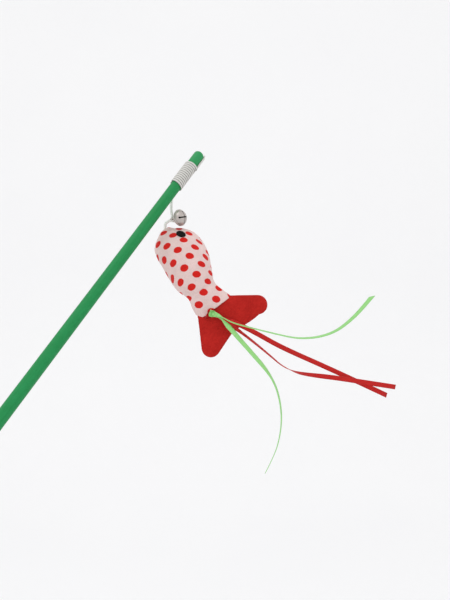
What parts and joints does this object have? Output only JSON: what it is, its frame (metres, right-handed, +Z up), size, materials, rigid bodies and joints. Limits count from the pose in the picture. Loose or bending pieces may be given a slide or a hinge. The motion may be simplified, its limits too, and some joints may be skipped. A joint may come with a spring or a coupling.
{
  "type": "cat teaser wand",
  "caption": "Cat teaser wand: a slim rod with elastic cord wound on its tip, and on the cord a jingle bell and a stuffed fish with a felt tail and trailing ribbons.",
  "frame": {"origin": "on the rod's axis, at the middle of its straight grip", "axes": "+Z up as the wand is held; the rod lies in the XZ plane and rises towards +X; the fish hangs below the tip, its near side towards -Y"},
  "size_m": [0.3403, 0.0967, 0.3206],
  "materials": {
    "rod": "satin moulded green plastic",
    "cord": "off-white covered elastic cord",
    "bell": "nickel-plated pressed steel",
    "pellet": "plain steel shot",
    "fish_cloth": "short-pile pale pink cloth with round red dots",
    "stuffing": "loose polyester fibre",
    "eye": "matt black",
    "felt": "thick red felt",
    "thread": "red sewing thread",
    "green_ribbon": "pale green satin ribbon",
    "red_ribbon": "red satin ribbon"
  },
  "bodies": {
    "wand": {"rod": "rod", "cord_winding": "cord"},
    "cord_turn": {"cord_bend": "cord"},
    "cord": {"cord_upper": "cord", "bell_knot": "cord", "cord_lower": "cord"},
    "bell": {"bell_loop": "bell", "bell_upper_shell": "bell", "bell_lower_shell": "bell"},
    "pellet": {"bell_pellet": "pellet"},
    "nose": {"nose_cord": "cord", "nose_knot": "cord"},
    "fish": {"fish_left_panel": "fish_cloth", "fish_right_panel": "fish_cloth", "fish_stuffing": "stuffing", "fish_left_eye": "eye", "fish_right_eye": "eye", "tail_root": "felt"},
    "tail": {"tail_fin": "felt", "ribbon_stitch": "thread"},
    "green_ribbon": {"green_ribbon_fold": "green_ribbon", "green_ribbon_upper": "green_ribbon", "green_ribbon_lower": "green_ribbon"},
    "red_ribbon": {"red_ribbon_fold": "red_ribbon", "red_ribbon_upper": "red_ribbon", "red_ribbon_lower": "red_ribbon"}
  },
  "joints": [
    {"name": "cord_swing", "type": "hinge", "parent": "wand", "child": "cord_turn", "pos_m": [0.18952, 0.00415, 0.25089], "axis": [0, -1, 0], "range_deg": [-6, 60]},
    {"name": "cord_sway", "type": "hinge", "parent": "cord_turn", "child": "cord", "pos_m": [0.19043, 0.00572, 0.24665], "axis": [1, 0, 0], "range_deg": [-30, 30]},
    {"name": "bell_swivel", "type": "hinge", "parent": "cord", "child": "bell", "pos_m": [0.19043, 0.00572, 0.22795], "axis": [0, 0, 1], "range_deg": [-20, 80]},
    {"name": "pellet_roll", "type": "hinge", "parent": "bell", "child": "pellet", "pos_m": [0.1926, 0.00006, 0.22827], "axis": [0.3579, -0.9323, 0.0523], "continuous": true},
    {"name": "fish_nod", "type": "hinge", "parent": "cord", "child": "nose", "pos_m": [0.18688, 0.01064, 0.22269], "axis": [0.5736, 0.8192, 0], "range_deg": [-2, 35]},
    {"name": "fish_roll", "type": "hinge", "parent": "nose", "child": "fish", "pos_m": [0.18688, 0.01064, 0.22269], "axis": [0.4497, -0.3149, -0.8358], "range_deg": [-45, 45]},
    {"name": "tail_flap", "type": "hinge", "parent": "fish", "child": "tail", "pos_m": [0.21445, -0.00866, 0.17145], "axis": [0.6847, -0.4794, 0.549], "range_deg": [-35, 35]},
    {"name": "green_ribbon_swing", "type": "hinge", "parent": "tail", "child": "green_ribbon", "pos_m": [0.21281, -0.00752, 0.16739], "axis": [0.5736, 0.8192, 0], "range_deg": [-12, 12]},
    {"name": "red_ribbon_swing", "type": "hinge", "parent": "tail", "child": "red_ribbon", "pos_m": [0.21281, -0.00752, 0.16739], "axis": [0.5736, 0.8192, 0], "range_deg": [-12, 12]}
  ]
}
